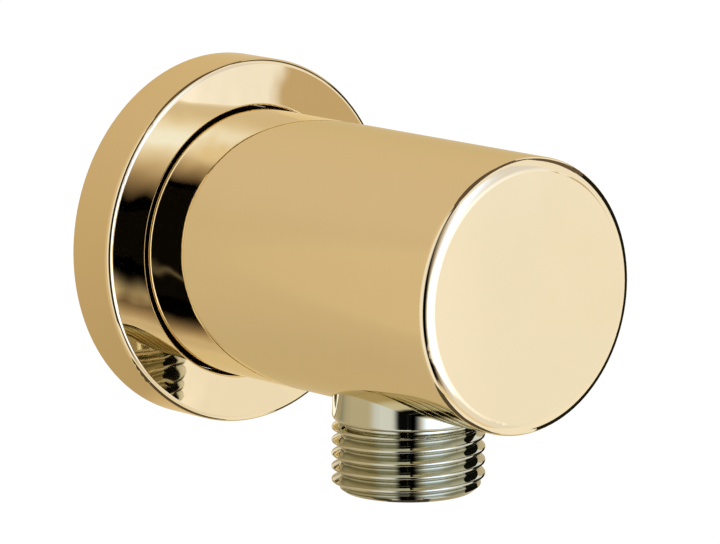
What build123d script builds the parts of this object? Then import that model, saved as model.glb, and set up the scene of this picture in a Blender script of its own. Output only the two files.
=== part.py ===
from build123d import *
import math
import os

os.makedirs("parts", exist_ok=True)

# Wall outlet for a shower hose, in millimetres.
# Origin on the wall plane at the body's axis, front towards -Y, +Z up.
# "reach" is a distance in front of the wall plane, "drop" a distance below the body's axis.

# Body
body_diameter = 37.4
body_back_gap = 1.6  # wall plane to the body's rear end
body_edge_side = 1.0  # front edge's radius next to the side
body_edge_face = 2.2  # and next to the face
waterway_diameter = 14.0
port_web = 5.7  # metal between the spigot's socket and the outlet's port
front_length = 24.1  # outlet's axis to the front face

# Cover ring at the wall
flange_plate = 1.9
flange_wall = 1.8
flange_hollow = 2.25  # open channel behind the plate, between collar and rim
flange_gap = 0.32  # open ring round the body
flange_edge_radius = 0.8
flange_lip_radius = 0.35
collar_wall = 1.45  # behind the rubber ring
collar_land = 1.9  # behind the rubber ring's groove
gasket_thickness = 1.6
gasket_overlap = 1.5  # how far the gasket lies on the collar's end

# Pipe thread G 1/2, drawn as level ridges
thread_diameter = 20.955
thread_pitch = 1.814
thread_depth = 1.162
thread_flank = 27.5  # degrees off square to the axis
thread_end_length = 1.2  # chamfer at the thread's end
thread_end_depth = 1.55

# Nipple in the wall
inlet_length = 12.0  # behind the wall plane
key_across = 10.2  # hexagon socket
key_depth = 9.0
key_land = 0.1  # bore inside the hexagon's flats
spigot_wall = 3.36  # outside the hexagon's corners
spigot_land = 2.65  # screw groove to first rubber ring
spigot_rib = 1.7  # between the rubber rings
spigot_tip = 1.85  # past the second rubber ring
spigot_chamfer = 0.8

# Grub screw under the body
lock_clear = 1.25  # hole's edge to the cover ring
lock_depth = 1.2  # groove in the spigot
screw_diameter = 6.0
screw_recess = 2.05
screw_point = 1.0  # flat at the tip
screw_key_across = 3.0
screw_key_depth = 3.0

# Rubber rings
ring_width = 1.9
ring_height = 1.4
ring_room = 0.4  # sideways room in a groove

# Nipple at the outlet
outlet_turns = 5
outlet_lip = 4.2  # below the valve
outlet_lip_wall = 1.15  # how far the lip stands in under the valve
nipple_wall = 1.75  # under the thread
neck_show = 1.3  # below the body
neck_cover = 3.7  # rubber ring's groove to the body's lowest line
neck_land = 0.6  # above the rubber ring
neck_step = 0.03  # below the thread's crest
neck_taper = 0.2  # narrower at the top
neck_round = 0.6
relief_width = 0.45
tail_step = 0.75  # tail inside the neck
tail_length = 3.1
tail_room = 0.4  # free space above the tail

# Non-return valve
valve_inset = 0.4  # below the nipple's top
valve_wall = 1.2
valve_rim = 0.5  # edge above the sleeve's rubber ring
seat_land = 0.8  # below that ring
seat_bevel = 0.4
seat_width = 0.6  # washer on its seat
washer_room = 0.5  # water's way round the washer
washer_thickness = 1.0
washer_grip = 0.4  # nose over the washer's inner edge
disc_step = 0.4  # disc inside the washer's edge
disc_thickness = 1.2
nose_room = 1.4  # water's way round the nose
nose_height = 1.3
poppet_travel = 3.0
stem_diameter = 2.5
stem_engaged = 1.2  # in the guide when closed
hub_wall = 0.97
cage_height = 2.0
cage_ring_wall = 0.9
spoke_count = 3
spoke_width = 1.4
spring_wire = 0.5
spring_turns = 4
spring_room = 0.2  # round the hub

# Fits
slide_fit = 0.05  # radial play of parts that push together
screw_fit = 0.05  # radial play of threaded parts
ring_fit = 0.03  # play of a squeezed ring in its groove
stem_fit = 0.08  # radial play of the valve stem
seat_gap = 0.05  # closed washer to its seat, spring to its seats
point_gap = 0.1  # grub screw's point to its groove
end_gap = 0.5  # spigot's end to the bottom of its socket

# Thread and rubber rings
thread_r = thread_diameter / 2
root_r = thread_r - thread_depth
flank_run = thread_depth * math.tan(math.radians(thread_flank))
crest_width = (thread_pitch - 2 * flank_run) / 2
groove_width = ring_width + ring_room

# Radii round the body's axis
body_r = body_diameter / 2
waterway_r = waterway_diameter / 2
key_corner_r = key_across / math.sqrt(3)
spigot_r = key_corner_r + spigot_wall
socket_r = spigot_r + slide_fit
collar_r = body_r + flange_gap
collar_outer_r = body_r + ring_height + collar_wall
flange_inner_r = collar_outer_r + flange_hollow
flange_r = flange_inner_r + flange_wall

# Radii round the outlet's axis
neck_r = thread_r - neck_step
neck_top_r = neck_r - neck_taper
mouth_r = neck_r + slide_fit
port_r = neck_top_r + slide_fit
tail_r = neck_r - tail_step
valve_bore_r = root_r - nipple_wall
valve_r = valve_bore_r - slide_fit
outlet_bore_r = valve_bore_r - outlet_lip_wall
sleeve_r = valve_r - valve_wall
washer_r = sleeve_r - washer_room
inlet_r = washer_r - seat_width - seat_bevel
nose_r = inlet_r - nose_room
washer_bore_r = nose_r - washer_grip
stem_r = stem_diameter / 2
guide_r = stem_r + stem_fit
hub_r = guide_r + hub_wall
screw_r = screw_diameter / 2
screw_hole_r = screw_r + screw_fit

# Reaches, from the wall forward
collar_end = gasket_thickness
flange_ring_reach = collar_end + collar_land + groove_width / 2
flange_back = collar_end + collar_land + groove_width
flange_depth = flange_back + flange_plate
lock_reach = flange_depth + lock_clear + screw_hole_r
first_ring_reach = lock_reach + lock_depth + spigot_land + groove_width / 2
second_ring_reach = first_ring_reach + groove_width + spigot_rib
spigot_length = second_ring_reach + groove_width / 2 + spigot_tip
socket_end = spigot_length + end_gap
outlet_reach = socket_end + port_web + mouth_r
body_reach = outlet_reach + front_length

# Drops, from the body's underside down and up
neck_end = body_r + neck_show
outlet_thread_start = neck_end + relief_width + flank_run
outlet_thread_end = outlet_thread_start + (outlet_turns - 1) * thread_pitch + crest_width
outlet_drop = outlet_thread_end + thread_end_length
taper_start = body_r - neck_cover
neck_ring_drop = taper_start - groove_width / 2
shoulder_drop = neck_ring_drop - groove_width / 2 - neck_land
tail_top = shoulder_drop - tail_length
valve_top = tail_top + valve_inset
valve_ring_drop = valve_top + valve_rim + groove_width / 2
seat_drop = valve_ring_drop + groove_width / 2 + seat_land
washer_top = seat_drop + seat_gap
disc_top = washer_top + washer_thickness
disc_end = disc_top + disc_thickness
valve_end = outlet_drop - outlet_lip
cage_top = valve_end - cage_height
stem_end = valve_end - poppet_travel
hub_top = stem_end - stem_engaged

outlet_axis = Pos(0, -outlet_reach, 0)


# A solid of revolution round the body's axis, from points (radius, reach)
def turned_on_wall_axis(points):
    outline = Polyline(*[(r, -reach) for r, reach in points], close=True)
    return revolve(make_face(outline), Axis.Y)


# A solid of revolution round the outlet's axis, from points (radius, drop)
def turned_on_outlet_axis(points):
    outline = Polyline(*[(r, -drop) for r, drop in points], close=True)
    return outlet_axis * revolve(Plane.XZ * make_face(outline), Axis.Z)


# A plain ring's section between two radii and two distances
def band_points(inner_r, outer_r, start, end):
    return [(inner_r, start), (outer_r, start), (outer_r, end), (inner_r, end)]


# A groove in a wall, as the four points where the outline goes in and comes out
def groove_points(wall_r, bottom_r, middle):
    start = middle - groove_width / 2
    end = middle + groove_width / 2
    return [(wall_r, start), (bottom_r, start), (bottom_r, end), (wall_r, end)]


# Section of a squeezed rubber ring: flat inside and outside, bulging at the sides
def ring_points(inner_r, outer_r, middle):
    low = inner_r + ring_fit
    high = outer_r - ring_fit
    half_flat = ring_width / 4
    return [
        (low, middle - half_flat),
        ((low + high) / 2, middle - ring_width / 2),
        (high, middle - half_flat),
        (high, middle + half_flat),
        ((low + high) / 2, middle + ring_width / 2),
        (low, middle + half_flat),
    ]


# Outline along a thread from its first crest, four points a ridge: root, crest, crest, root
def ridge_points(start, turns):
    points = []
    for turn in range(turns):
        crest_start = start + turn * thread_pitch
        crest_end = crest_start + crest_width
        points.append((root_r, crest_start - flank_run))
        points.append((thread_r, crest_start))
        points.append((thread_r, crest_end))
        points.append((root_r, crest_end + flank_run))
    return points


# The circle edges at one end of a turned solid, smallest first
def circles_at(shape, axis, position):
    near = slide_fit / 2
    circles = shape.edges().filter_by(GeomType.CIRCLE)
    return circles.filter_by_position(axis, position - near, position + near).sort_by(SortBy.RADIUS)


# The front edge is two arcs that meet at 45 degrees
def elbow_body():
    waterway_end = outlet_reach + waterway_r
    rise = 1 - math.sqrt(0.5)
    meet_r = body_r - body_edge_side * rise
    meet_reach = body_reach - body_edge_face * rise
    face_r = meet_r - body_edge_face * math.sqrt(0.5)
    side_reach = meet_reach - body_edge_side * math.sqrt(0.5)
    face_arc = TangentArc((face_r, -body_reach), (meet_r, -meet_reach), tangent=(1, 0))
    side_arc = TangentArc((meet_r, -meet_reach), (body_r, -side_reach), tangent=(1, 1))
    rest = Polyline(
        (body_r, -side_reach),
        (body_r, -body_back_gap),
        (socket_r + spigot_chamfer, -body_back_gap),
        (socket_r, -body_back_gap - spigot_chamfer),
        (socket_r, -socket_end),
        (waterway_r, -socket_end),
        (waterway_r, -waterway_end),
        (0, -waterway_end),
        (0, -body_reach),
        (face_r, -body_reach),
    )
    body = revolve(make_face([face_arc, side_arc, rest]), Axis.Y)
    tail_hole_r = tail_r + screw_fit
    tail_hole_top = tail_top - tail_room
    port = turned_on_outlet_axis(
        [
            (0, 0),
            (outlet_bore_r, 0),
            (outlet_bore_r, tail_hole_top),
            (tail_hole_r, tail_hole_top),
            (tail_hole_r, shoulder_drop),
            (port_r, shoulder_drop),
            (port_r, taper_start),
            (mouth_r, neck_end),
            (0, neck_end),
        ]
    )
    top_end = (Align.CENTER, Align.CENTER, Align.MAX)
    screw_hole = Cylinder(screw_hole_r, body_diameter, align=top_end)
    return body - port - Pos(0, -lock_reach, 0) * screw_hole


def wall_flange():
    flange = turned_on_wall_axis(
        [
            (collar_r, flange_depth),
            (flange_r, flange_depth),
            (flange_r, 0),
            (flange_inner_r, 0),
            (flange_inner_r, flange_back),
            (collar_outer_r, flange_back),
            (collar_outer_r, collar_end),
            (collar_r, collar_end),
            *groove_points(collar_r, body_r + ring_height, flange_ring_reach),
        ]
    )
    flange = fillet(circles_at(flange, Axis.Y, -flange_depth)[-1], flange_edge_radius)
    return fillet(circles_at(flange, Axis.Y, -flange_depth)[0], flange_lip_radius)


def flange_o_ring():
    return turned_on_wall_axis(ring_points(body_r, body_r + ring_height, flange_ring_reach))


def wall_gasket():
    inner_r = collar_outer_r - gasket_overlap
    outer_r = flange_inner_r - slide_fit
    return turned_on_wall_axis(band_points(inner_r, outer_r, 0, gasket_thickness))


# The wall thread has as many ridges as fit, and the last one runs out into the spigot
def wall_nipple():
    bore_r = key_across / 2 - key_land
    groove_r = socket_r - ring_height
    thread_start = thread_end_length - inlet_length
    turns = 1 + int((-thread_start - crest_width - flank_run) / thread_pitch)
    nipple = turned_on_wall_axis(
        [
            (bore_r, -inlet_length),
            (thread_r - thread_end_depth, -inlet_length),
            *ridge_points(thread_start, turns)[1:-1],
            (spigot_r, 0),
            (spigot_r, lock_reach - lock_depth),
            (spigot_r - lock_depth, lock_reach),
            (spigot_r, lock_reach + lock_depth),
            *groove_points(spigot_r, groove_r, first_ring_reach),
            *groove_points(spigot_r, groove_r, second_ring_reach),
            (spigot_r, spigot_length - spigot_chamfer),
            (spigot_r - spigot_chamfer, spigot_length),
            (bore_r, spigot_length),
        ]
    )
    key = extrude(RegularPolygon(key_corner_r, 6), key_depth)
    return nipple - Pos(0, -spigot_length, 0) * Rot(-90, 0, 0) * key


def nipple_o_rings():
    rings = []
    for reach in [first_ring_reach, second_ring_reach]:
        rings.append(turned_on_wall_axis(ring_points(socket_r - ring_height, socket_r, reach)))
    return Compound(rings)


def grub_screw():
    tip_r = screw_point / 2
    tip_drop = spigot_r - lock_depth + tip_r + point_gap
    cone_end = tip_drop + screw_r - tip_r
    screw_end = body_r - screw_recess
    outline = Polyline(
        (0, -tip_drop),
        (tip_r, -tip_drop),
        (screw_r, -cone_end),
        (screw_r, -screw_end),
        (0, -screw_end),
        close=True,
    )
    screw = revolve(Plane.XZ * make_face(outline), Axis.Z)
    key = extrude(RegularPolygon(screw_key_across / math.sqrt(3), 6), screw_key_depth)
    return Pos(0, -lock_reach, 0) * (screw - Pos(0, 0, -screw_end) * key)


def outlet_nipple():
    nipple = turned_on_outlet_axis(
        [
            (valve_bore_r, tail_top),
            (tail_r, tail_top),
            (tail_r, shoulder_drop),
            (neck_top_r, shoulder_drop),
            *groove_points(neck_top_r, port_r - ring_height, neck_ring_drop),
            (neck_r, neck_end),
            (root_r, neck_end),
            *ridge_points(outlet_thread_start, outlet_turns)[:-1],
            (thread_r - thread_end_depth, outlet_drop),
            (outlet_bore_r, outlet_drop),
            (outlet_bore_r, valve_end),
            (valve_bore_r, valve_end),
        ]
    )
    return fillet(circles_at(nipple, Axis.Z, -neck_end)[-1], neck_round)


def outlet_o_ring():
    return turned_on_outlet_axis(ring_points(port_r - ring_height, port_r, neck_ring_drop))


def valve_housing():
    return turned_on_outlet_axis(
        [
            (inlet_r, valve_top),
            (valve_r, valve_top),
            *groove_points(valve_r, valve_bore_r - ring_height, valve_ring_drop),
            (valve_r, valve_end),
            (sleeve_r, valve_end),
            (sleeve_r, seat_drop),
            (inlet_r + seat_bevel, seat_drop),
            (inlet_r, seat_drop - seat_bevel),
        ]
    )


def valve_o_ring():
    return turned_on_outlet_axis(ring_points(valve_bore_r - ring_height, valve_bore_r, valve_ring_drop))


def valve_poppet():
    disc_r = washer_r - disc_step
    nose_top = washer_top - nose_height
    dome_r = (nose_r**2 + nose_height**2) / (2 * nose_height)
    outline = [
        RadiusArc((0, -nose_top), (nose_r, -washer_top), dome_r),
        Polyline(
            (nose_r, -washer_top),
            (washer_bore_r, -washer_top),
            (washer_bore_r, -disc_top),
            (disc_r, -disc_top),
            (disc_r, -disc_end),
            (stem_r, -disc_end),
            (stem_r, -stem_end),
            (0, -stem_end),
            (0, -nose_top),
        ),
    ]
    return outlet_axis * revolve(Plane.XZ * make_face(outline), Axis.Z)


def poppet_seal():
    return turned_on_outlet_axis(band_points(washer_bore_r, washer_r, washer_top, disc_top))


def valve_cage():
    ring_outer_r = sleeve_r - slide_fit
    ring_inner_r = ring_outer_r - cage_ring_wall
    ring = turned_on_outlet_axis(band_points(ring_inner_r, ring_outer_r, cage_top, valve_end))
    hub = turned_on_outlet_axis(band_points(guide_r, hub_r, hub_top, valve_end))
    spoke_start = hub_r - hub_wall / 2
    spoke_length = ring_outer_r - cage_ring_wall / 2 - spoke_start
    from_hub = (Align.MIN, Align.CENTER, Align.MIN)
    spoke = Pos(spoke_start, 0, -valve_end) * Box(spoke_length, spoke_width, cage_height, align=from_hub)
    return ring + hub + [outlet_axis * Rot(0, 0, 360 * i / spoke_count) * spoke for i in range(spoke_count)]


# The wire has a hexagonal section, which keeps the coil light
def valve_spring():
    wire_r = spring_wire / 2
    coil_r = hub_r + spring_room + wire_r
    coil_end = cage_top - wire_r - seat_gap
    coil_height = coil_end - disc_end - wire_r - seat_gap
    coil = Helix(coil_height / spring_turns, coil_height, coil_r)
    wire = Plane(origin=coil @ 0, z_dir=coil % 0) * RegularPolygon(wire_r, 6)
    return outlet_axis * Pos(0, 0, -coil_end) * sweep(wire, path=coil, is_frenet=True)


pieces = {
    "elbow_body": elbow_body(),
    "wall_flange": wall_flange(),
    "flange_o_ring": flange_o_ring(),
    "wall_gasket": wall_gasket(),
    "wall_nipple": wall_nipple(),
    "nipple_o_rings": nipple_o_rings(),
    "grub_screw": grub_screw(),
    "outlet_nipple": outlet_nipple(),
    "outlet_o_ring": outlet_o_ring(),
    "valve_housing": valve_housing(),
    "valve_o_ring": valve_o_ring(),
    "valve_poppet": valve_poppet(),
    "poppet_seal": poppet_seal(),
    "valve_cage": valve_cage(),
    "valve_spring": valve_spring(),
}
for name, shape in pieces.items():
    export_step(shape, f"parts/{name}.step")
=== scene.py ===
import math

import bmesh
import bpy
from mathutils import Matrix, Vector


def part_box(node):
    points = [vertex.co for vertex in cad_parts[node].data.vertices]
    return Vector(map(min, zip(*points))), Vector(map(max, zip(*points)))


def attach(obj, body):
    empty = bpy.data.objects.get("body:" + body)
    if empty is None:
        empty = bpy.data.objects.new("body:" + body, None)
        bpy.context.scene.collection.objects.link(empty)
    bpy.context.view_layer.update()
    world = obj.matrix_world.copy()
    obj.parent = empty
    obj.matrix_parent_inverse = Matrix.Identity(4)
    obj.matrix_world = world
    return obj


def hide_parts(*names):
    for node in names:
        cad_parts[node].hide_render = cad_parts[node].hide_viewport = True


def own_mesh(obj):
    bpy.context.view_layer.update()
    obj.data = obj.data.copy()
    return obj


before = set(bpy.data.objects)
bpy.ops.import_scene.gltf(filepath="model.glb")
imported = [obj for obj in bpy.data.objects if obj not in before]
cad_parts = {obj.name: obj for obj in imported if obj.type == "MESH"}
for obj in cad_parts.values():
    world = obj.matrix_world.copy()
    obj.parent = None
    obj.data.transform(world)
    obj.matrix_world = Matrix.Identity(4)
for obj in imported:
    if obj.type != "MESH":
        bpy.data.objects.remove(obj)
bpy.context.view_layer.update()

mm = 0.001
fullTurn = 2 * math.pi
weldDistance = 2e-7
sharpAngle = math.radians(32)
guardShare = 0.04
bendShares = (-1, -0.6, -0.2, 0.2, 0.6, 1)
scene = bpy.context.scene
print("frame loaded:", len(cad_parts), "nodes")

# The turning axes: the body's, out from the wall, and the outlet's and the screw's, downwards
outletLow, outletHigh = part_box("outlet_nipple")
outletY = (outletLow.y + outletHigh.y) / 2
screwLow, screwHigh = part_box("grub_screw")
screwY = (screwLow.y + screwHigh.y) / 2
wallAxis = {
    "start": Vector((0, 0, 0)),
    "along": Vector((0, -1, 0)),
    "across": Vector((1, 0, 0)),
    "up": Vector((0, 0, 1)),
}
outletAxis = {
    "start": Vector((0, outletY, 0)),
    "along": Vector((0, 0, -1)),
    "across": Vector((1, 0, 0)),
    "up": Vector((0, -1, 0)),
}
screwAxis = dict(outletAxis, start=Vector((0, screwY, 0)))


# mesh helpers
def roundCorner(before, here, after, bend, steps):
    toBefore = (before - here).normalized()
    toAfter = (after - here).normalized()
    half = toBefore.angle(toAfter) / 2
    reach = bend / math.tan(half)
    centre = here + (toBefore + toAfter).normalized() * bend / math.sin(half)
    first = here + toBefore * reach - centre
    last = here + toAfter * reach - centre
    sweep = first.angle_signed(last)
    startAngle = math.atan2(first.y, first.x)
    arc = []
    for step in range(steps + 1):
        angle = startAngle - sweep * step / steps
        arc.append((centre.x + bend * math.cos(angle), centre.y + bend * math.sin(angle)))
    guard = bend * guardShare  # a close loop each side keeps the flats flat
    lead = here + toBefore * (reach + guard)
    tail = here + toAfter * (reach + guard)
    return [tuple(lead), *arc, tuple(tail)]


# Outline points are (radius, along) or (radius, along, corner radius), in millimetres.
# An outline closes on itself, unless lead or tail is the neighbour of its first or last point
def softened(points, lead=None, tail=None, steps=6):
    around = [lead or points[-1], *points, tail or points[0]]
    outline = []
    for before, here, after in zip(around, points, around[2:]):
        if len(here) == 2:
            outline.append(here)
            continue
        corner = [Vector(point[:2]) for point in (before, here, after)]
        outline += roundCorner(*corner, here[2], steps)
    return outline


def boxSection(inner, outer, start, end, innerEdge, outerEdge):
    points = [
        (inner, start, innerEdge),
        (outer, start, outerEdge),
        (outer, end, outerEdge),
        (inner, end, innerEdge),
    ]
    return softened(points)


def finishMesh(name, bm, material):
    bmesh.ops.remove_doubles(bm, verts=bm.verts, dist=weldDistance)
    bmesh.ops.dissolve_degenerate(bm, edges=bm.edges, dist=weldDistance)
    bmesh.ops.recalc_face_normals(bm, faces=bm.faces)
    for face in bm.faces:
        face.smooth = True
    for edge in bm.edges:
        if len(edge.link_faces) == 2 and edge.calc_face_angle() > sharpAngle:
            edge.smooth = False
    mesh = bpy.data.meshes.new(name)
    bm.to_mesh(mesh)
    bm.free()
    mesh.materials.append(material)
    piece = bpy.data.objects.new(name, mesh)
    scene.collection.objects.link(piece)
    return piece


def spokeAt(axis, angle):
    return axis["across"] * math.cos(angle) + axis["up"] * math.sin(angle)


def bridgeLoops(bm, loops):
    count = len(loops[0])
    for first, second in zip(loops, loops[1:]):
        for k in range(count):
            n = (k + 1) % count
            bm.faces.new((first[k], first[n], second[n], second[k]))


def addRod(bm, loops):
    bridgeLoops(bm, loops)
    bm.faces.new(loops[0])
    bm.faces.new(loops[-1])


# The outline is one closed section, or a function that gives the section at an angle round the axis
def addTurned(bm, axis, columns, outline):
    rings = []
    for column in range(columns + 1):
        angle = fullTurn * column / columns
        section = outline(angle) if callable(outline) else outline
        spoke = spokeAt(axis, angle)
        ring = []
        for radius, along in section:
            ring.append(bm.verts.new(axis["start"] + (spoke * radius + axis["along"] * along) * mm))
        rings.append(ring)
    bridgeLoops(bm, rings)


def turned(name, axis, columns, outline, material):
    bm = bmesh.new()
    addTurned(bm, axis, columns, outline)
    return finishMesh(name, bm, material)


def softClamp(value, blend):
    if value <= -blend:
        return 0.0
    if value < blend:
        return (value + blend) ** 2 / (4 * blend)
    if value <= 1 - blend:
        return value
    if value < 1 + blend:
        return 1 - (1 + blend - value) ** 2 / (4 * blend)
    return 1.0


def evenStep(low, high, value):
    return min(max((value - low) / (high - low), 0.0), 1.0)


def smoothStep(low, high, value):
    t = evenStep(low, high, value)
    return t * t * (3 - 2 * t)


# Rows of a right-hand thread between two limits; rows follow the helix, so crests stay clean
def threadRows(thread, angle):
    pitch = thread["pitch"]
    crestHalf = thread["crest"] / 2
    flank = thread["flank"]
    blend = thread["blend"]
    bends = [blend * flank * share for share in bendShares]
    marks = [0, *[crestHalf + bend for bend in bends], crestHalf + flank / 2]
    marks += [crestHalf + flank + bend for bend in bends]
    offsets = [-m for m in reversed(marks[1:])] + marks + [pitch / 2]
    turnShare = angle / fullTurn
    firstTurn = math.floor((thread["start"] - thread["phase"]) / pitch) - 2
    lastTurn = math.ceil((thread["end"] - thread["phase"]) / pitch) + 1
    rows = []
    for number in range(firstTurn, lastTurn + 1):
        centre = thread["phase"] + (number + turnShare) * pitch
        for offset in offsets:
            along = min(max(centre + offset, thread["start"]), thread["end"])
            place = (along - thread["phase"]) / pitch - turnShare
            away = abs(place - round(place)) * pitch
            height = softClamp((crestHalf + flank - away) / flank, blend)
            height *= smoothStep(*thread["fade"], along)
            radius = thread["root"] + (thread["top"] - thread["root"]) * height
            rows.append((min(radius, thread["limit"](along)), along))
    return rows


# Painted shade: the colour darkens from below the crest to the bottom of the thread's grooves, standing in
# for the shade there
def paintRootShade(piece, axis, thread):
    rootShades = []
    for vertex in piece.data.vertices:
        place = (vertex.co - axis["start"]) / mm
        along = place.dot(axis["along"])
        radius = (place - axis["along"] * along).length
        outside = along > thread["start"] and radius > thread["root"] - thread["rootBand"]
        shadeFrom = thread["top"] - thread["brightDepth"]
        shade = smoothStep(shadeFrom, thread["root"] + thread["rootBand"], radius)
        rootShades.append(shade if outside else 0.0)
    piece.data.attributes.new("paintedRootShade", "FLOAT", "POINT").data.foreach_set("value", rootShades)


def hexagonRadius(angle, acrossFlats):
    sixth = math.pi / 3
    return acrossFlats / 2 / math.cos(angle % sixth - sixth / 2)


# shader helpers
def addNode(tree, kind, **settings):
    node = tree.nodes.new(kind)
    for key, value in settings.items():
        setattr(node, key, value)
    return node


def setInputs(node, **values):
    for key, value in values.items():
        node.inputs[key].default_value = value


def mathNode(tree, operation, first, second):
    node = addNode(tree, "ShaderNodeMath", operation=operation)
    for socket, value in zip(node.inputs, (first, second)):
        if isinstance(value, (int, float)):
            socket.default_value = value
        else:
            tree.links.new(value, socket)
    return node.outputs[0]


def newGroup(name, inputs, outputs):
    group = bpy.data.node_groups.new(name, "ShaderNodeTree")
    for label, kind, value in inputs:
        socket = group.interface.new_socket(label, in_out="INPUT", socket_type=kind)
        socket.default_value = value
    for label in outputs:
        group.interface.new_socket(label, in_out="OUTPUT", socket_type="NodeSocketFloat")
    start = addNode(group, "NodeGroupInput")
    end = addNode(group, "NodeGroupOutput")
    return group, start, end


# Polished or turned metal: lines round the turning axis, waviness that may fade towards one end,
# a slope that falls away from the axis, faint smudges
def buildMetalMarks():
    group, start, end = newGroup(
        "metalMarks",
        [
            ("Turning Axis", "NodeSocketVector", (0, 1, 0)),
            ("Line Scale", "NodeSocketFloat", 8000),
            ("Line Share", "NodeSocketFloat", 0.2),
            ("Wave Scale", "NodeSocketFloat", 160),
            ("Wave Share", "NodeSocketFloat", 1),
            ("Wave From", "NodeSocketFloat", -1),
            ("Wave To", "NodeSocketFloat", -0.5),
            ("Slope", "NodeSocketFloat", 0),
            ("Smudge Scale", "NodeSocketFloat", 90),
            ("Smooth", "NodeSocketFloat", 0.03),
            ("Dull", "NodeSocketFloat", 0.08),
        ],
        ["Roughness", "Height", "Tint"],
    )
    tree = group
    links = tree.links
    place = addNode(tree, "ShaderNodeTexCoord").outputs["Object"]
    along = addNode(tree, "ShaderNodeVectorMath", operation="DOT_PRODUCT")
    links.new(place, along.inputs[0])
    links.new(start.outputs["Turning Axis"], along.inputs[1])
    lines = addNode(tree, "ShaderNodeTexNoise", noise_dimensions="1D")
    setInputs(lines, Scale=1.0, Detail=3.0, Roughness=0.7)
    stretched = mathNode(tree, "MULTIPLY", along.outputs["Value"], start.outputs["Line Scale"])
    links.new(stretched, lines.inputs["W"])
    wave = addNode(tree, "ShaderNodeTexNoise", noise_dimensions="3D")
    setInputs(wave, Detail=1.0, Roughness=0.4)
    links.new(place, wave.inputs["Vector"])
    links.new(start.outputs["Wave Scale"], wave.inputs["Scale"])
    smudge = addNode(tree, "ShaderNodeTexNoise", noise_dimensions="3D")
    setInputs(smudge, Detail=5.0, Roughness=0.6, Distortion=0.6)
    links.new(place, smudge.inputs["Vector"])
    links.new(start.outputs["Smudge Scale"], smudge.inputs["Scale"])
    wavy = addNode(tree, "ShaderNodeMapRange", interpolation_type="SMOOTHSTEP")
    links.new(along.outputs["Value"], wavy.inputs["Value"])
    links.new(start.outputs["Wave From"], wavy.inputs["From Min"])
    links.new(start.outputs["Wave To"], wavy.inputs["From Max"])
    links.new(start.outputs["Wave Share"], wavy.inputs["To Max"])
    waves = mathNode(tree, "MULTIPLY", wave.outputs["Fac"], wavy.outputs["Result"])
    lineShare = mathNode(tree, "MULTIPLY", lines.outputs["Fac"], start.outputs["Line Share"])
    across = addNode(tree, "ShaderNodeVectorMath", operation="CROSS_PRODUCT")
    links.new(place, across.inputs[0])
    links.new(start.outputs["Turning Axis"], across.inputs[1])
    reach = addNode(tree, "ShaderNodeVectorMath", operation="LENGTH")
    links.new(across.outputs["Vector"], reach.inputs[0])
    fall = mathNode(tree, "MULTIPLY", reach.outputs["Value"], start.outputs["Slope"])
    marked = mathNode(tree, "ADD", waves, lineShare)
    links.new(mathNode(tree, "SUBTRACT", marked, fall), end.inputs["Height"])
    spread = addNode(tree, "ShaderNodeMapRange", interpolation_type="SMOOTHSTEP")
    setInputs(spread, **{"From Min": 0.35, "From Max": 0.7})
    links.new(smudge.outputs["Fac"], spread.inputs["Value"])
    links.new(start.outputs["Smooth"], spread.inputs["To Min"])
    links.new(start.outputs["Dull"], spread.inputs["To Max"])
    links.new(spread.outputs["Result"], end.inputs["Roughness"])
    mixed = mathNode(tree, "MULTIPLY", lines.outputs["Fac"], smudge.outputs["Fac"])
    links.new(mathNode(tree, "MULTIPLY", mixed, 2.0), end.inputs["Tint"])
    return group


# Moulded plastic and rubber: fine grain, flow shading and a duller bloom in patches
def buildMouldGrain():
    group, start, end = newGroup(
        "mouldGrain",
        [
            ("Grain Scale", "NodeSocketFloat", 6000),
            ("Flow Scale", "NodeSocketFloat", 200),
            ("Smooth", "NodeSocketFloat", 0.35),
            ("Dull", "NodeSocketFloat", 0.6),
        ],
        ["Roughness", "Height", "Tint"],
    )
    tree = group
    links = tree.links
    place = addNode(tree, "ShaderNodeTexCoord").outputs["Object"]
    grain = addNode(tree, "ShaderNodeTexVoronoi", feature="SMOOTH_F1")
    links.new(place, grain.inputs["Vector"])
    links.new(start.outputs["Grain Scale"], grain.inputs["Scale"])
    flow = addNode(tree, "ShaderNodeTexNoise", noise_dimensions="3D")
    setInputs(flow, Detail=4.0, Roughness=0.55, Distortion=0.4)
    links.new(place, flow.inputs["Vector"])
    links.new(start.outputs["Flow Scale"], flow.inputs["Scale"])
    spread = addNode(tree, "ShaderNodeMapRange")
    setInputs(spread, **{"From Min": 0.3, "From Max": 0.7})
    links.new(flow.outputs["Fac"], spread.inputs["Value"])
    links.new(start.outputs["Smooth"], spread.inputs["To Min"])
    links.new(start.outputs["Dull"], spread.inputs["To Max"])
    links.new(spread.outputs["Result"], end.inputs["Roughness"])
    links.new(grain.outputs["Distance"], end.inputs["Height"])
    links.new(flow.outputs["Fac"], end.inputs["Tint"])
    return group


metalMarks = buildMetalMarks()
mouldGrain = buildMouldGrain()


def mixColours(tree, share, first, second):
    node = addNode(tree, "ShaderNodeMix", data_type="RGBA")
    tree.links.new(share, node.inputs["Factor"])
    sockets = {socket.name: socket for socket in node.inputs if socket.type == "RGBA"}
    for label, value in (("A", first), ("B", second)):
        if isinstance(value, tuple):
            sockets[label].default_value = (*value, 1)
        else:
            tree.links.new(value, sockets[label])
    return [socket for socket in node.outputs if socket.type == "RGBA"][0]


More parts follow.
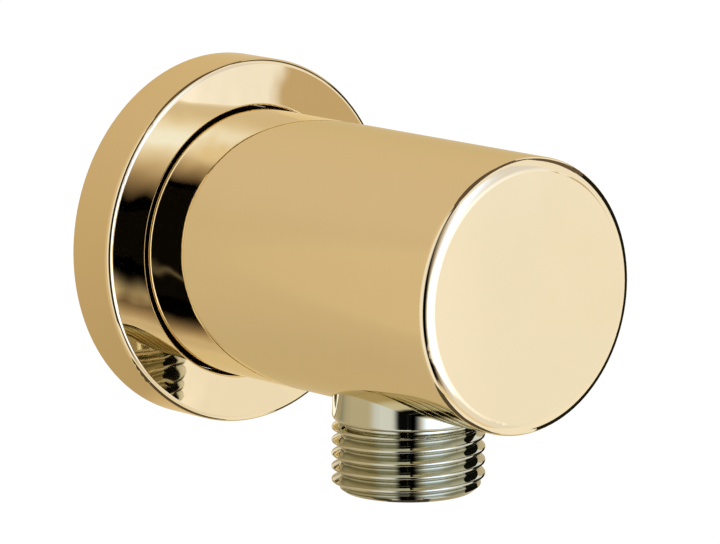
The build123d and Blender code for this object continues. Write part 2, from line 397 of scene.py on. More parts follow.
def makeFinish(name, group, look):
    material = bpy.data.materials.new(name)
    material.use_nodes = True
    tree = material.node_tree
    shader = tree.nodes["Principled BSDF"]
    for key, value in look["shader"].items():
        shader.inputs[key].default_value = value
    marks = addNode(tree, "ShaderNodeGroup", node_tree=group)
    setInputs(marks, **look["marks"])
    colour = mixColours(tree, marks.outputs["Tint"], look["colour"], look["deep"])
    # painted shade in the thread's grooves, read from a mesh attribute
    if "rootShadeColour" in look:
        depth = addNode(tree, "ShaderNodeAttribute", attribute_name="paintedRootShade")
        colour = mixColours(tree, depth.outputs["Fac"], colour, look["rootShadeColour"])
    tree.links.new(colour, shader.inputs["Base Color"])
    tree.links.new(marks.outputs["Roughness"], shader.inputs["Roughness"])
    bump = addNode(tree, "ShaderNodeBump")
    setInputs(bump, Strength=1.0, Distance=look["depth"])
    tree.links.new(marks.outputs["Height"], bump.inputs["Height"])
    tree.links.new(bump.outputs["Normal"], shader.inputs["Normal"])
    return material


goldLook = {
    "colour": (0.885, 0.75, 0.5),
    "deep": (0.845, 0.71, 0.465),
    "depth": 1.6e-5,
    "shader": {"Metallic": 1.0, "Specular Tint": (0.97, 0.92, 0.76, 1)},
    "marks": {
        "Turning Axis": (0, 1, 0), "Line Scale": 5000, "Line Share": 0.01,
        "Wave Scale": 110, "Wave Share": 4, "Wave From": -0.03, "Wave To": -0.008,
        "Smudge Scale": 70, "Smooth": 0.02, "Dull": 0.05,
    },
}
coverGoldLook = {
    "colour": (0.865, 0.715, 0.455),
    "deep": (0.825, 0.675, 0.42),
    "depth": 1.6e-5,
    "shader": {"Metallic": 1.0, "Specular Tint": (0.97, 0.92, 0.76, 1)},
    "marks": {
        "Turning Axis": (0, 1, 0), "Line Scale": 5000, "Line Share": 0.01,
        "Wave Scale": 150, "Wave Share": 5, "Slope": 2180,
        "Smudge Scale": 70, "Smooth": 0.02, "Dull": 0.05,
    },
}
nickelLook = {
    "colour": (0.615, 0.607, 0.486),
    "deep": (0.575, 0.563, 0.447),
    # colour of the painted shade at the bottom of the thread's grooves
    "rootShadeColour": (0.4, 0.39, 0.28),
    "depth": 1e-5,
    "shader": {"Metallic": 1.0},
    "marks": {
        "Turning Axis": (0, 0, 1), "Line Scale": 6000, "Line Share": 0.08,
        "Wave Scale": 350, "Smudge Scale": 180, "Smooth": 0.02, "Dull": 0.06,
    },
}
brassLook = {
    "colour": (0.72, 0.52, 0.25),
    "deep": (0.6, 0.41, 0.17),
    "depth": 8e-6,
    "shader": {"Metallic": 1.0},
    "marks": {
        "Turning Axis": (0, 1, 0), "Line Scale": 9000, "Line Share": 0.5,
        "Wave Scale": 300, "Smudge Scale": 160, "Smooth": 0.16, "Dull": 0.32,
    },
}
steelLook = {
    "colour": (0.6, 0.6, 0.6),
    "deep": (0.47, 0.47, 0.48),
    "depth": 6e-6,
    "shader": {"Metallic": 1.0},
    "marks": {
        "Turning Axis": (0, 0, 1), "Line Scale": 9000, "Line Share": 0.4,
        "Wave Scale": 500, "Smudge Scale": 250, "Smooth": 0.18, "Dull": 0.35,
    },
}
rubberLook = {
    "colour": (0.016, 0.016, 0.017),
    "deep": (0.028, 0.028, 0.029),
    "depth": 1.2e-5,
    "shader": {"Metallic": 0.0},
    "marks": {"Grain Scale": 9000, "Flow Scale": 350, "Smooth": 0.42, "Dull": 0.65},
}
foamLook = {
    "colour": (0.045, 0.045, 0.047),
    "deep": (0.085, 0.085, 0.087),
    "depth": 6e-5,
    "shader": {"Metallic": 0.0},
    "marks": {"Grain Scale": 3200, "Flow Scale": 260, "Smooth": 0.75, "Dull": 0.95},
}
whitePlasticLook = {
    "colour": (0.72, 0.71, 0.66),
    "deep": (0.62, 0.61, 0.56),
    "depth": 1e-5,
    "shader": {"Metallic": 0.0, "Subsurface Weight": 0.08, "Subsurface Radius": (0.002, 0.0018, 0.0014)},
    "marks": {"Grain Scale": 8000, "Flow Scale": 240, "Smooth": 0.3, "Dull": 0.5},
}
bluePlasticLook = {
    "colour": (0.06, 0.13, 0.27),
    "deep": (0.045, 0.1, 0.21),
    "depth": 1e-5,
    "shader": {"Metallic": 0.0},
    "marks": {"Grain Scale": 8000, "Flow Scale": 240, "Smooth": 0.3, "Dull": 0.5},
}
gold = makeFinish("goldPolish", metalMarks, goldLook)
coverGold = makeFinish("coverGold", metalMarks, coverGoldLook)
nickel = makeFinish("nickelPlate", metalMarks, nickelLook)
turnedBrass = makeFinish("turnedBrass", metalMarks, brassLook)
stainless = makeFinish("stainless", metalMarks, steelLook)
blackRubber = makeFinish("blackRubber", mouldGrain, rubberLook)
darkFoam = makeFinish("darkFoam", mouldGrain, foamLook)
whitePlastic = makeFinish("whitePlastic", mouldGrain, whitePlasticLook)
bluePlastic = makeFinish("bluePlastic", mouldGrain, bluePlasticLook)
print("finishes made: 9")


def settle(piece, body, slot, *nodes):
    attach(piece, body)
    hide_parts(*nodes)
    return piece


# body and cover ring keep their solids, with the polished finish
for nodeName, finish in (("elbow_body", gold), ("wall_flange", coverGold)):
    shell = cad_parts[nodeName]
    shell.data.materials.clear()
    shell.data.materials.append(finish)
print("body and cover ring polished")

# the pipe thread at both ends
pipeThread = {"pitch": 1.814, "top": 10.4775, "root": 9.3155, "blend": 0.16}

# nipple at the outlet, with a real helical thread; lengths are below the body's axis
outletNippleLook = {
    "columns": 192,
    "thread": dict(pipeThread, crest=0.302, flank=0.605),
    "threadStart": 20.4,
    "threadFade": 0.35,
    "phase": 21.89,
    # where the painted groove shade begins below the crest, and how far past the root it reaches
    "brightDepth": 0.6,
    "rootBand": 0.1,
    "endLength": 1.2,
    "endDepth": 1.55,
    "endEdge": 0.2,
    "top": 9.0,
    "topEdge": 0.25,
    "tail": 9.6975,
    "tailEdge": 0.3,
    "shoulder": 12.1,
    "smallEdge": 0.12,
    "groove": (12.7, 15.0),
    "grooveFloor": 8.8975,
    "neckTop": 10.2475,
    "neck": 10.4475,
    "neckEnd": 20.0,
    "neckEdge": 0.6,
    "valveBore": 7.5655,
    "lipBore": 6.4155,
    "lip": 25.613,
}


def outletNipple(look):
    form = look["thread"]
    end = -outletLow.z / mm
    chamferStart = end - look["endLength"]
    slope = look["endDepth"] / look["endLength"]
    seat = (look["valveBore"], look["lip"])
    tip = (form["top"] - look["endDepth"], end)
    grooveStart, grooveEnd = look["groove"]
    upper = [
        (look["valveBore"], look["top"], look["topEdge"]),
        (look["tail"], look["top"], look["tailEdge"]),
        (look["tail"], look["shoulder"]),
        (look["neckTop"], look["shoulder"], look["smallEdge"]),
        (look["neckTop"], grooveStart),
        (look["grooveFloor"], grooveStart),
        (look["grooveFloor"], grooveEnd),
        (look["neckTop"], grooveEnd),
        (look["neck"], look["neckEnd"], look["neckEdge"]),
        (form["root"], look["neckEnd"], look["smallEdge"]),
        (form["root"], look["threadStart"]),
    ]
    lower = [(look["lipBore"], end, look["endEdge"]), (look["lipBore"], look["lip"]), seat]
    upper = softened(upper, lead=seat)
    lower = softened(lower, lead=tip)
    thread = dict(
        form,
        phase=look["phase"],
        start=look["threadStart"],
        end=end,
        fade=(look["threadStart"], look["threadStart"] + look["threadFade"]),
        limit=lambda along: form["top"] - max(0.0, along - chamferStart) * slope,
        brightDepth=look["brightDepth"],
        rootBand=look["rootBand"],
    )

    def outlineAt(angle):
        return [*upper, *threadRows(thread, angle), *lower]

    piece = turned("outletNipple", outletAxis, look["columns"], outlineAt, nickel)
    # paints shade into the thread's grooves
    paintRootShade(piece, outletAxis, thread)
    return piece


settle(outletNipple(outletNippleLook), "outlet", "nickel", "outlet_nipple")
print("outlet nipple threaded")

# nipple in the wall, thread, ring grooves and hexagon socket; lengths are out from the wall
wallNippleLook = {
    "columns": 192,
    "thread": dict(pipeThread, crest=0.42, flank=0.58),
    "threadEnd": -0.3,
    "threadFade": (-0.5, -1.6),
    "phase": 0.5,
    "endLength": 1.2,
    "endDepth": 1.55,
    "spigot": 9.249,
    "lockGroove": (10.8, 13.2),
    "lockFloor": 8.049,
    "grooves": [(15.85, 18.15), (19.85, 22.15)],
    "grooveFloor": 7.899,
    "smallEdge": 0.1,
    "tipBevel": 0.8,
    "tipEdges": (0.2, 0.15),
    "acrossFlats": 10.2,
    "socketDepth": 9.0,
    "boreRadius": 5.0,
    "boreBevel": 0.3,
}


def wallNipple(look):
    form = look["thread"]
    start = -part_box("wall_nipple")[1].y / mm
    tip = -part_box("wall_nipple")[0].y / mm
    chamferEnd = start + look["endLength"]
    slope = look["endDepth"] / look["endLength"]
    thread = dict(
        form,
        phase=start + look["phase"],
        start=start,
        end=look["threadEnd"],
        fade=look["threadFade"],
        limit=lambda along: form["top"] - max(0.0, chamferEnd - along) * slope,
    )
    spigot, edge = look["spigot"], look["smallEdge"]
    lockStart, lockEnd = look["lockGroove"]
    lockMiddle = (lockStart + lockEnd) / 2
    points = [(spigot, 0), (spigot, lockStart), (look["lockFloor"], lockMiddle, edge), (spigot, lockEnd)]
    for grooveStart, grooveEnd in look["grooves"]:
        points.append((spigot, grooveStart, edge))
        points.append((look["grooveFloor"], grooveStart))
        points.append((look["grooveFloor"], grooveEnd))
        points.append((spigot, grooveEnd, edge))
    points.append((spigot, tip - look["tipBevel"], look["tipEdges"][0]))
    points.append((spigot - look["tipBevel"], tip, look["tipEdges"][1]))
    bore, bevel = look["boreRadius"], look["boreBevel"]
    outside = softened(points, tail=(bore, tip))
    socketEnd = tip - look["socketDepth"]

    def outlineAt(angle):
        flat = hexagonRadius(angle, look["acrossFlats"])
        socket = [(flat + bevel, tip), (flat, tip - bevel), (flat, socketEnd)]
        inlet = [(bore, socketEnd), (bore, start + bevel), (bore + bevel, start)]
        return [*threadRows(thread, angle), *outside, *socket, *inlet]

    return turned("wallNipple", wallAxis, look["columns"], outlineAt, turnedBrass)


settle(wallNipple(wallNippleLook), "outlet", "raw_brass", "wall_nipple")
print("wall nipple threaded")

# grub screw under the body
grubScrewLook = {
    "columns": 96,
    "thread": {"pitch": 1.0, "top": 3.0, "root": 2.5, "crest": 0.2, "flank": 0.3, "blend": 0.16},
    "threadStart": 1.4,
    "threadFade": 0.4,
    "pointRadius": 0.5,
    "endBevel": 0.35,
    "acrossFlats": 3.0,
    "socketDepth": 3.0,
    "socketBevel": 0.15,
    "drillDepth": 0.7,
}


def grubScrew(look):
    form = look["thread"]
    tip = -screwHigh.z / mm
    end = -screwLow.z / mm
    point, bevel = look["pointRadius"], look["socketBevel"]
    start = tip + look["threadStart"]
    socketEnd = end - look["socketDepth"]

    def limit(along):
        return min(point + along - tip, form["top"], form["top"] - look["endBevel"] + (end - along))

    fade = (start, start + look["threadFade"])
    thread = dict(form, phase=tip + form["top"] - point, start=start, end=end, fade=fade, limit=limit)

    def outlineAt(angle):
        flat = hexagonRadius(angle, look["acrossFlats"])
        cone = [(0, socketEnd - look["drillDepth"]), (0, tip), (point, tip)]
        socket = [(flat + bevel, end), (flat, end - bevel), (flat, socketEnd)]
        return [*cone, *threadRows(thread, angle), *socket]

    return turned("grubScrew", screwAxis, look["columns"], outlineAt, stainless)


settle(grubScrew(grubScrewLook), "outlet", "steel", "grub_screw")
print("grub screw threaded")

# rubber rings, round cord squeezed flat where it seals
rubberRingLook = {"columns": 160, "section": 28, "squeeze": 2.6, "halfWidth": 0.95}
rubberRings = {
    "flangeRing": {
        "axis": wallAxis, "node": "flange_o_ring",
        "low": 18.73, "high": 20.07, "middles": [4.65],
    },
    "nippleRings": {
        "axis": wallAxis, "node": "nipple_o_rings",
        "low": 7.929, "high": 9.269, "middles": [17.0, 21.0],
    },
    "outletRing": {
        "axis": outletAxis, "node": "outlet_o_ring",
        "low": 8.9275, "high": 10.2675, "middles": [13.85],
    },
    "valveRing": {
        "axis": outletAxis, "node": "valve_o_ring",
        "low": 6.1955, "high": 7.5355, "middles": [11.05],
    },
}


def rubberRing(name, ring, look):
    halfHeight = (ring["high"] - ring["low"]) / 2
    middleRadius = (ring["high"] + ring["low"]) / 2
    power = 2 / look["squeeze"]
    bm = bmesh.new()
    for middle in ring["middles"]:
        section = []
        for k in range(look["section"]):
            angle = fullTurn * k / look["section"]
            c, s = math.cos(angle), math.sin(angle)
            high = math.copysign(abs(c) ** power, c) * halfHeight
            side = math.copysign(abs(s) ** power, s) * look["halfWidth"]
            section.append((middleRadius + high, middle + side))
        addTurned(bm, ring["axis"], look["columns"], section)
    return finishMesh(name, bm, blackRubber)


for ringName, ring in rubberRings.items():
    settle(rubberRing(ringName, ring, rubberRingLook), "outlet", "rubber", ring["node"])
print("rubber rings made:", len(rubberRings))

# foam ring in the cover ring's back
foamRingLook = {"columns": 160, "inner": 20.05, "outer": 23.75, "thickness": 1.6, "edge": 0.3}


def foamRing(look):
    outline = boxSection(look["inner"], look["outer"], 0, look["thickness"], look["edge"], look["edge"])
    return turned("foamRing", wallAxis, look["columns"], outline, darkFoam)


settle(foamRing(foamRingLook), "outlet", "gasket", "wall_gasket")
print("foam ring made")

# non-return valve: sleeve, cage, plunger, washer and spring; lengths are below the body's axis
valveColumns = 128
sleeveLook = {
    "outer": 7.5155, "inner": 6.3155, "inlet": 4.8155, "seat": 5.2155, "grooveFloor": 6.1655,
    "top": 9.4, "groove": (9.9, 12.2), "seatStart": 12.6, "seatEnd": 13.0,
    "end": outletNippleLook["lip"],
    "inletEdge": 0.2, "topEdge": 0.12, "smallEdge": 0.1, "endEdges": (0.25, 0.15),
}


def valveSleeve(look):
    small = look["smallEdge"]
    grooveStart, grooveEnd = look["groove"]
    points = [
        (look["inlet"], look["top"], look["inletEdge"]),
        (look["outer"], look["top"], look["topEdge"]),
        (look["outer"], grooveStart, small),
        (look["grooveFloor"], grooveStart),
        (look["grooveFloor"], grooveEnd),
        (look["outer"], grooveEnd, small),
        (look["outer"], look["end"], look["endEdges"][0]),
        (look["inner"], look["end"], look["endEdges"][1]),
        (look["inner"], look["seatEnd"]),
        (look["seat"], look["seatEnd"], small),
        (look["inlet"], look["seatStart"], small),
    ]
    return turned("valveSleeve", outletAxis, valveColumns, softened(points), whitePlastic)


cageLook = {
    "ringInner": 5.3655, "ringOuter": 6.2655, "top": 23.613, "end": outletNippleLook["lip"],
    "hubInner": 1.33, "hubOuter": 2.3, "hubTop": 21.413, "edge": 0.12,
    "spokes": 3, "spokeWidth": 1.4, "spokeEdge": 0.3, "spokeInset": 0.15, "spokeRoot": 0.3,
}


def valveCage(look):
    edge, soft = look["edge"], look["spokeEdge"]
    bm = bmesh.new()
    rim = boxSection(look["ringInner"], look["ringOuter"], look["top"], look["end"], edge, edge)
    hub = boxSection(look["hubInner"], look["hubOuter"], look["hubTop"], look["end"], edge, edge)
    addTurned(bm, outletAxis, valveColumns, rim)
    addTurned(bm, outletAxis, valveColumns, hub)
    halfWidth, inset = look["spokeWidth"] / 2, look["spokeInset"]
    section = boxSection(-halfWidth, halfWidth, look["top"] + inset, look["end"] - inset, soft, soft)
    for number in range(look["spokes"]):
        angle = fullTurn * number / look["spokes"]
        spoke = spokeAt(outletAxis, angle)
        side = spokeAt(outletAxis, angle + fullTurn / 4)
        loops = []
        for reach in (look["hubOuter"] - look["spokeRoot"], look["ringInner"] + look["spokeRoot"]):
            loop = []
            for across, along in section:
                place = spoke * reach + side * across + outletAxis["along"] * along
                loop.append(bm.verts.new(outletAxis["start"] + place * mm))
            loops.append(loop)
        addRod(bm, loops)
    return finishMesh("valveCage", bm, whitePlastic)


plungerLook = {
    "noseRadius": 3.4155, "noseTop": 11.75, "washerTop": 13.05, "washerBore": 3.0155, "discTop": 14.05,
    "discRadius": 5.4155, "discEnd": 15.25, "stemRadius": 1.25, "stemEnd": 22.613, "domeSteps": 14,
    "discEdge": 0.15, "stemRoot": 0.25, "stemEdge": 0.3,
}


def valvePlunger(look):
    rise = look["washerTop"] - look["noseTop"]
    domeRadius = (look["noseRadius"] ** 2 + rise**2) / (2 * rise)
    halfAngle = math.asin(look["noseRadius"] / domeRadius)
    dome = []
    for step in range(look["domeSteps"]):
        angle = halfAngle * step / look["domeSteps"]
        dome.append((domeRadius * math.sin(angle), look["noseTop"] + domeRadius * (1 - math.cos(angle))))
    points = [
        (0, look["stemEnd"]),
        *dome,
        (look["noseRadius"], look["washerTop"]),
        (look["washerBore"], look["washerTop"]),
        (look["washerBore"], look["discTop"]),
        (look["discRadius"], look["discTop"], look["discEdge"]),
        (look["discRadius"], look["discEnd"], look["discEdge"]),
        (look["stemRadius"], look["discEnd"], look["stemRoot"]),
        (look["stemRadius"], look["stemEnd"], look["stemEdge"]),
    ]
    return turned("valvePlunger", outletAxis, valveColumns, softened(points), bluePlastic)


washerLook = {
    "inner": plungerLook["washerBore"], "outer": 5.8155,
    "top": plungerLook["washerTop"], "end": plungerLook["discTop"],
    "innerEdge": 0.1, "outerEdge": 0.2,
}


def valveWasher(look):
    edges = (look["innerEdge"], look["outerEdge"])
    outline = boxSection(look["inner"], look["outer"], look["top"], look["end"], *edges)
    return turned("valveWasher", outletAxis, valveColumns, outline, blackRubber)


springLook = {
    "wire": 0.25, "coil": 2.75, "start": 15.55, "end": 23.313, "turns": 6,
    "closed": 0.9, "closedPitch": 1.02, "steps": 48, "sides": 12, "tangentStep": 0.01,
}


def valveSpring(look):
    total = look["turns"]
    closed = look["closed"]
    shut = closed * 2 * look["wire"] * look["closedPitch"]
    rise = look["end"] - look["start"]

    def heightAt(turnsDone):
        if turnsDone <= closed:
            return shut * turnsDone / closed
        if turnsDone >= total - closed:
            return rise - shut * (total - turnsDone) / closed
        return shut + (rise - 2 * shut) * (turnsDone - closed) / (total - 2 * closed)

    def pointAt(turnsDone):
        spoke = spokeAt(outletAxis, fullTurn * turnsDone)
        return spoke * look["coil"] + outletAxis["along"] * (look["start"] + heightAt(turnsDone))

    bm = bmesh.new()
    loops = []
    ahead = look["tangentStep"]
    for step in range(total * look["steps"] + 1):
        turnsDone = step / look["steps"]
        spoke = spokeAt(outletAxis, fullTurn * turnsDone)
        place = pointAt(turnsDone)
        course = (pointAt(turnsDone + ahead) - pointAt(turnsDone - ahead)).normalized()
        side = course.cross(spoke).normalized()
        loop = []
        for k in range(look["sides"]):
            angle = fullTurn * k / look["sides"]
            offset = spoke * math.cos(angle) + side * math.sin(angle)
            loop.append(bm.verts.new(outletAxis["start"] + (place + offset * look["wire"]) * mm))
        loops.append(loop)
    addRod(bm, loops)
    return finishMesh("valveSpring", bm, stainless)


settle(valveSleeve(sleeveLook), "outlet", "valve_plastic", "valve_housing")
settle(valveCage(cageLook), "outlet", "valve_plastic", "valve_cage")
settle(valvePlunger(plungerLook), "poppet", "poppet_plastic", "valve_poppet")
settle(valveWasher(washerLook), "poppet", "rubber", "poppet_seal")
spring = settle(valveSpring(springLook), "outlet", "steel", "valve_spring")
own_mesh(spring)
print("valve made: 5 pieces")

# studio: white surroundings, cards that the polish mirrors, a pale floor
# azimuth 0 is straight out from the wall, positive to the right; heights and distances in metres
studioLook = {"centre": (0, -0.03), "fillStrength": 0.6, "cardGrid": (80, 60), "discSides": 48}
floorLook = {
    "height": -1.1, "half": 12, "colour": (0.85, 0.85, 0.85, 1), "roughness": 0.9,
    "glow": 1.08, "share": 0.9,
}


def scaled(first, second):
    return tuple(a * b for a, b in zip(first, second))


def blended(first, second, share):
    return tuple(a * (1 - share) + b * share for a, b in zip(first, second))


# A little brighter and cooler above the object's middle
coolLook = {"heights": (-0.1, -0.04), "lift": (0.06, 0.1, 0.22)}


def coolLift(height, share):
    lift = share * smoothStep(*coolLook["heights"], height)
    return tuple(1 + part * lift for part in coolLook["lift"])


# Warm where it is dim and cool where it is bright, as a soft daylight box is
tintLook = {"redDim": 0.23, "redFall": 0.29, "blueDim": 0.14, "blueRise": 0.08, "blueCurve": 0.3}


def tinted(level, cast, look):
    red = 1 + cast * (look["redDim"] - look["redFall"] * level)
    blue = 1 + cast * (look["blueRise"] * level + look["blueCurve"] * level**2 - look["blueDim"])
    return (level * red, level, level * blue)


# A soft box with three zones: a fading top, a bright middle with a fairly sharp edge, a dimmer foot.
# Pairs are where a change begins and ends, as heights or azimuths
keyLook = {
    "topHeights": (-0.02, 0.16), "topFade": (-34, 0), "topLevel": 0.88, "topLift": 0.7, "topLiftEnd": (6, 36),
    "middleFade": (-33, -8), "middleLift": 1.05, "middleLiftEnd": (15, 40),
    "footDepth": 0.33, "footRise": 0.11, "footRiseAt": (12, 28), "footBlend": 0.11,
    "footFade": (-27, -2), "footLevel": 0.77, "footPower": 1.5,
    "right": (2, 14), "rightLevel": 0.15, "rightCast": 0.8,
    "cast": 0.05, "brightCast": 0.3, "brightLevels": (1, 1.4), "coolSide": (26, 38),
    "plainSide": (-34, -24), "above": (0.58, 0.68), "below": (0.62, 0.78),
    "aboveColour": (1, 1, 1), "belowColour": (0.9, 0.78, 0.56),
}


def keyGlow(azimuth, height):
    look = keyLook
    high = smoothStep(*look["topHeights"], height)
    lowFrom = look["footDepth"] - look["footRise"] * smoothStep(*look["footRiseAt"], azimuth)
    low = smoothStep(lowFrom, lowFrom + look["footBlend"], -height)
    between = 1 - high - low
    lift = look["topLift"] * (1 - smoothStep(*look["topLiftEnd"], azimuth))
    top = evenStep(*look["topFade"], azimuth) * (look["topLevel"] + lift)
    lift = look["middleLift"] * (1 - evenStep(*look["middleLiftEnd"], azimuth))
    middle = smoothStep(*look["middleFade"], azimuth) * (1 + lift)
    right = smoothStep(*look["right"], azimuth)
    foot = look["footLevel"] * evenStep(*look["footFade"], azimuth) ** look["footPower"]
    foot += look["rightLevel"] * right
    level = top * high + foot * low + middle * between
    bright = look["cast"] + look["brightCast"] * smoothStep(*look["brightLevels"], level)
    cast = max(high, low * (1 - look["rightCast"] * right), bright)
    cool = coolLift(height, between * smoothStep(*look["coolSide"], azimuth))
    colour = scaled(tinted(level, cast, tintLook), cool)
    plain = smoothStep(*look["plainSide"], azimuth)
    for label, away in (("above", height), ("below", -height)):
        edge = tuple(part * plain for part in look[label + "Colour"])
        colour = blended(colour, edge, smoothStep(*look[label], away))
    return colour


# Dark, with one faint light line low down
blackLook = {
    "level": 0.004, "lineAt": -42.3, "lineWidth": 0.7, "lineLevel": 0.12, "lineDepths": (0.17, 0.2),
    "sideLevel": 0.95, "side": (-66, -54.5), "brown": (0.06, 0.036, 0.012), "brownHeights": (0.9, 1.3),
}


def blackGlow(azimuth, height):
    look = blackLook
    across = (azimuth - look["lineAt"]) / look["lineWidth"]
    line = look["lineLevel"] * math.exp(-(across**2)) * smoothStep(*look["lineDepths"], -height)
    level = look["level"] + line + look["sideLevel"] * (1 - smoothStep(*look["side"], azimuth))
    share = smoothStep(*look["brownHeights"], height)
    return tuple(level + part * share for part in look["brown"])


# A warm strip in front of the soft box, ending below the top
warmLook = {
    "start": 43.2, "startShift": 1.2, "shiftHeights": (-0.085, -0.065), "startBlend": 1.6,
    "end": (47.5, 49.5), "top": (-0.02, 0.02), "colour": (0.63, 0.5, 0.32),
}


def warmGlow(azimuth, height):
    look = warmLook
    start = look["start"] - look["startShift"] * smoothStep(*look["shiftHeights"], height)
    share = smoothStep(start, start + look["startBlend"], azimuth) * (1 - smoothStep(*look["end"], azimuth))
    share *= 1 - smoothStep(*look["top"], height)
    return blended(coolLift(height, 1), look["colour"], share)


# Warm panels behind, with a dimmer hollow in the middle and a white end
rearLook = {
    "level": 0.735, "lift": 0.06, "liftHeights": (0, 0.3), "fall": 0.05, "fallDepths": (0.1, 0.32),
    "leftLevel": 1.01, "rightFall": 0.08, "rightAt": (225, 220),
    "hollowAt": (185, -0.06), "hollowSize": (30, 0.09), "hollowEdge": (0.3, 1.1),
    "hollowDepth": 0.42, "hollowRed": 0.1, "green": 0.835, "blue": 0.56, "blueLift": 0.04,
    "whiteSide": (256, 274), "white": (0.95, 0.95, 0.95),
}


def rearGlow(azimuth, height):
    look = rearLook
    lift = smoothStep(*look["liftHeights"], height)
    level = look["level"] + look["lift"] * lift - look["fall"] * smoothStep(*look["fallDepths"], -height)
    level *= look["leftLevel"] - look["rightFall"] * smoothStep(*look["rightAt"], azimuth)
    across = (azimuth - look["hollowAt"][0]) / look["hollowSize"][0]
    up = (height - look["hollowAt"][1]) / look["hollowSize"][1]
    hollow = 1 - smoothStep(*look["hollowEdge"], math.hypot(across, up))
    level *= 1 - look["hollowDepth"] * hollow
    red, blue = 1 - look["hollowRed"] * hollow, look["blue"] + look["blueLift"] * lift
    warm = (level * red, level * look["green"], level * blue)
    return blended(warm, look["white"], smoothStep(*look["whiteSide"], azimuth))


# What the cover ring's rim mirrors close to the wall, by the sine of the angle above the middle
wallRing = {
    "inner": 0.0258, "outer": 0.033, "behind": 0.002, "sides": 96,
    "level": 0.63, "lift": 0.11, "fall": 0.09, "footLift": 0.25, "foot": (0.85, 1),
    "green": 0.81, "greenLift": 0.02, "blue": 0.5, "blueLift": 0.08,
}


def ringGlow(rise):
    look = wallRing
    up, down = max(rise, 0), max(-rise, 0)
    level = look["level"] + look["lift"] * up - look["fall"] * down
    level += look["footLift"] * smoothStep(*look["foot"], -rise)
    green, blue = look["green"] + look["greenLift"] * rise, look["blue"] + look["blueLift"] * up
    return (level, level * green, level * blue)


# A glow is one colour, or a function of azimuth and height
cards = {
    "keyPanel": {"azimuth": (-36, 44), "height": (-1.0, 1.25), "distance": 0.625, "glow": keyGlow},
    "blackCard": {"azimuth": (-67, -28), "height": (-1.05, 2.7), "distance": 1.25, "glow": blackGlow},
    "warmCard": {"azimuth": (41, 50), "height": (-0.12, 0.02), "distance": 0.62, "glow": warmGlow},
    "sideCard": {"azimuth": (69, 118), "height": (-0.6, 0.18), "distance": 0.6, "glow": (0.012, 0.012, 0.01)},
    "sideCardTop": {"azimuth": (66, 100), "height": (0.18, 1.0), "distance": 0.6, "glow": (0.15, 0.11, 0.08)},
    "rearCard": {"azimuth": (114, 277), "height": (-0.6, 1.0), "distance": 0.35, "glow": rearGlow},
}
discs = {
    "darkCeiling": {"middle": (0, 0.22), "height": 0.88, "radius": 0.62, "glow": (0.13, 0.095, 0.07)},
    "darkGround": {"middle": (0, 0.12), "height": -0.72, "radius": 0.42, "glow": (0.1, 0.08, 0.055)},
}


def cardMaterial():
    material = bpy.data.materials.new("cardGlow")
    material.use_nodes = True
    tree = material.node_tree
    tree.nodes.clear()
    glow = addNode(tree, "ShaderNodeAttribute", attribute_name="glow")
    light = addNode(tree, "ShaderNodeEmission")
    end = addNode(tree, "ShaderNodeOutputMaterial")
    tree.links.new(glow.outputs["Color"], light.inputs["Color"])
    tree.links.new(light.outputs["Emission"], end.inputs["Surface"])
    return material


# A card that only mirrors show, with a colour for each point
def hangCard(name, points, faces, colours, material):
    mesh = bpy.data.meshes.new(name)
    mesh.from_pydata(points, [], faces)
    flat = [part for colour in colours for part in (*colour, 1.0)]
    mesh.attributes.new("glow", "FLOAT_COLOR", "POINT").data.foreach_set("color", flat)
    mesh.materials.append(material)
    panel = bpy.data.objects.new(name, mesh)
    scene.collection.objects.link(panel)
    panel.visible_camera = False
    panel.visible_shadow = False


def studioCard(name, card, material):
    columns, rows = studioLook["cardGrid"]
    left, right = card["azimuth"]
    bottom, top = card["height"]
    glow = card["glow"]
    points, colours, faces = [], [], []
    for i in range(columns + 1):
        azimuth = left + (right - left) * i / columns
        angle = math.radians(azimuth)
        x = studioLook["centre"][0] + card["distance"] * math.sin(angle)
        y = studioLook["centre"][1] - card["distance"] * math.cos(angle)
        for j in range(rows + 1):
            height = bottom + (top - bottom) * j / rows
            points.append((x, y, height))
            colours.append(glow(azimuth, height) if callable(glow) else glow)
    for i in range(columns):
        for j in range(rows):
            a = i * (rows + 1) + j
            faces.append((a, a + 1, a + rows + 2, a + rows + 1))
    hangCard(name, points, faces, colours, material)


def studioDisc(name, disc, material):
    count = studioLook["discSides"]
    points = []
    for k in range(count):
        angle = fullTurn * k / count
        x = disc["middle"][0] + disc["radius"] * math.cos(angle)
        y = disc["middle"][1] + disc["radius"] * math.sin(angle)
        points.append((x, y, disc["height"]))
    hangCard(name, points, [tuple(range(count))], [disc["glow"]] * count, material)


def studioRing(name, ring, material):
    count = ring["sides"]
    points, colours, faces = [], [], []
    for k in range(count):
        angle = fullTurn * k / count
        for radius in (ring["inner"], ring["outer"]):
            points.append((radius * math.cos(angle), ring["behind"], radius * math.sin(angle)))
            colours.append(ringGlow(math.sin(angle)))
        n = (k + 1) % count
        faces.append((2 * k, 2 * k + 1, 2 * n + 1, 2 * n))
    hangCard(name, points, faces, colours, material)


# White for the camera and for what mirrors or lets through, plain light for the rest
def seenDirectly(tree):
    path = addNode(tree, "ShaderNodeLightPath")
    either = mathNode(tree, "MAXIMUM", path.outputs["Is Camera Ray"], path.outputs["Is Glossy Ray"])
    return mathNode(tree, "MAXIMUM", either, path.outputs["Is Transmission Ray"])


def mixShaders(tree, share, first, second, end):
    mix = addNode(tree, "ShaderNodeMixShader")
    tree.links.new(share, mix.inputs["Fac"])
    tree.links.new(first, mix.inputs[1])
    tree.links.new(second, mix.inputs[2])
    tree.links.new(mix.outputs["Shader"], end.inputs["Surface"])


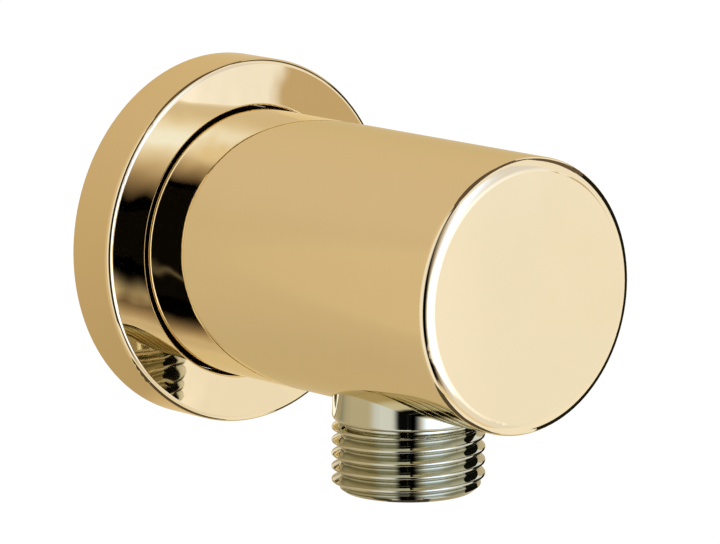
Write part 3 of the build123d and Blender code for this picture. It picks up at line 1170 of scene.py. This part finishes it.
def studioWorld():
    world = bpy.data.worlds.new("studio")
    scene.world = world
    world.use_nodes = True
    tree = world.node_tree
    tree.nodes.clear()
    fill = addNode(tree, "ShaderNodeBackground")
    setInputs(fill, Color=(1, 1, 1, 1), Strength=studioLook["fillStrength"])
    white = addNode(tree, "ShaderNodeBackground")
    setInputs(white, Color=(1, 1, 1, 1), Strength=1.0)
    end = addNode(tree, "ShaderNodeOutputWorld")
    mixShaders(tree, seenDirectly(tree), fill.outputs["Background"], white.outputs["Background"], end)


def studioFloor(look):
    half, z = look["half"], look["height"]
    corners = [(-half, -half, z), (half, -half, z), (half, half, z), (-half, half, z)]
    mesh = bpy.data.meshes.new("floor")
    mesh.from_pydata(corners, [], [(0, 1, 2, 3)])
    material = bpy.data.materials.new("paleFloor")
    material.use_nodes = True
    tree = material.node_tree
    matt = tree.nodes["Principled BSDF"]
    setInputs(matt, **{"Base Color": look["colour"], "Roughness": look["roughness"]})
    white = addNode(tree, "ShaderNodeEmission")
    setInputs(white, Color=(1, 1, 1, 1), Strength=look["glow"])
    share = mathNode(tree, "MULTIPLY", seenDirectly(tree), look["share"])
    mixShaders(tree, share, matt.outputs["BSDF"], white.outputs["Emission"], tree.nodes["Material Output"])
    mesh.materials.append(material)
    floor = bpy.data.objects.new("floor", mesh)
    scene.collection.objects.link(floor)


studioWorld()
studioFloor(floorLook)
cardLight = cardMaterial()
for cardName, card in cards.items():
    studioCard(cardName, card, cardLight)
for discName, disc in discs.items():
    studioDisc(discName, disc, cardLight)
studioRing("wallRing", wallRing, cardLight)
print("studio set: cards", len(cards) + len(discs) + 1)

# camera
cameraLook = {
    "place": (-0.49487, -0.59730, 0.13695),
    "back": (-0.6470, -0.7408, 0.1807),
    "lens": 279.93,
    "sensor": 36.0,
    "nearest": 0.01,
}
cameraData = bpy.data.cameras.new("camera")
cameraData.lens = cameraLook["lens"]
cameraData.sensor_width = cameraLook["sensor"]
cameraData.sensor_fit = "HORIZONTAL"
cameraData.clip_start = cameraLook["nearest"]
camera = bpy.data.objects.new("camera", cameraData)
camera.location = cameraLook["place"]
camera.rotation_euler = Vector(cameraLook["back"]).to_track_quat("Z", "Y").to_euler()
scene.collection.objects.link(camera)
scene.camera = camera
scene.view_settings.view_transform = "Standard"

print("scene ready")
